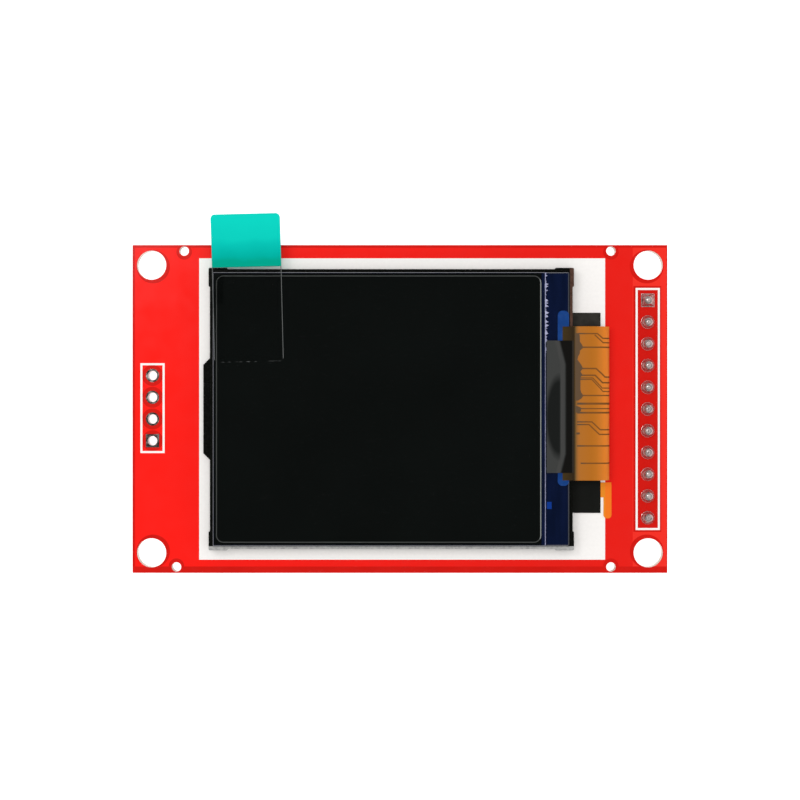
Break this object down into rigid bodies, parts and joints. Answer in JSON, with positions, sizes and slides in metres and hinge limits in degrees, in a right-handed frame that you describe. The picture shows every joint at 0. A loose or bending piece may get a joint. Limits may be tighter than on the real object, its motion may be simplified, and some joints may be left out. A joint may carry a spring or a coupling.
{
  "type": "tft display module",
  "caption": "Colour display module: backlit LCD on a red carrier board with a folded flex, a pin header along one end and a memory card socket on the back.",
  "frame": {"origin": "centre of the four mounting holes, on the board's front face", "axes": "+X along the board towards the header, +Y up the screen as pictured, +Z out of the screen"},
  "size_m": [0.0624, 0.0418, 0.014],
  "materials": {
    "solder_mask": "glossy red solder mask over glass-epoxy laminate",
    "white_ink": "screen-printed white ink, slightly raised",
    "tinned_copper": "dull tinned copper",
    "solder": "smooth shiny solder",
    "gold_plate": "thin gold plating over brass",
    "header_plastic": "moulded black plastic with a soft sheen",
    "foam_tape": "white double-sided foam tape",
    "frame_plastic": "moulded black plastic",
    "reflector_film": "bright silvery white film",
    "light_guide_plastic": "clear acrylic",
    "optical_film": "milky translucent film",
    "black_tape": "thin matte black tape",
    "flex_film": "amber polyimide film over copper tracks",
    "lamp_plastic": "white package with a pale yellow window",
    "polarizer_film": "near black glossy film",
    "cell_glass": "thin glass over a dark cell, polished edges",
    "clear_film": "clear peelable film, glossy",
    "teal_tab": "teal plastic tab, clear where it is stuck down",
    "silicon": "dark polished silicon",
    "blue_resin": "cured blue resin bead",
    "sheet_steel": "thin stainless sheet, satin",
    "socket_plastic": "black heat-resistant moulding",
    "package_epoxy": "dull black moulded epoxy",
    "resistor_ceramic": "black glazed top on white ceramic",
    "capacitor_ceramic": "tan ceramic"
  },
  "bodies": {
    "root": {"pcb": "solder_mask", "front_silkscreen": "white_ink", "back_silkscreen": "white_ink", "row_plating": "tinned_copper", "header_plating": "tinned_copper", "front_pads": "tinned_copper", "back_pads": "tinned_copper", "header_insulator": "header_plastic", "header_solder": "solder", "mounting_foam": "foam_tape", "backlight_frame": "frame_plastic", "reflector_sheet": "reflector_film", "light_guide": "light_guide_plastic", "diffuser_film": "optical_film", "prism_film_lower": "optical_film", "prism_film_upper": "optical_film", "rim_tape": "black_tape", "lamp_flex": "flex_film", "rear_polarizer": "polarizer_film", "lower_glass": "cell_glass", "upper_glass": "cell_glass", "front_polarizer": "polarizer_film", "protective_film": "clear_film", "pull_tab": "teal_tab", "driver_chip": "silicon", "display_flex": "flex_film", "bond_sealant": "blue_resin", "ledge_tape": "black_tape", "flex_tape": "black_tape", "flex_solder": "solder", "socket_shell": "sheet_steel", "socket_base": "socket_plastic", "socket_contacts": "gold_plate", "socket_solder": "solder", "regulator_body": "package_epoxy", "regulator_legs": "tinned_copper", "transistor_body": "package_epoxy", "transistor_legs": "tinned_copper", "resistor_bodies": "resistor_ceramic", "resistor_ends": "tinned_copper", "capacitor_bodies": "capacitor_ceramic", "capacitor_ends": "tinned_copper", "small_part_solder": "solder", "header_pin_01": "gold_plate", "header_pin_02": "gold_plate", "header_pin_03": "gold_plate", "header_pin_04": "gold_plate", "header_pin_05": "gold_plate", "header_pin_06": "gold_plate", "header_pin_07": "gold_plate", "header_pin_08": "gold_plate", "header_pin_09": "gold_plate", "header_pin_10": "gold_plate", "header_pin_11": "gold_plate", "lamp_01": "lamp_plastic", "lamp_02": "lamp_plastic", "lamp_03": "lamp_plastic", "lamp_04": "lamp_plastic"}
  },
  "joints": []
}
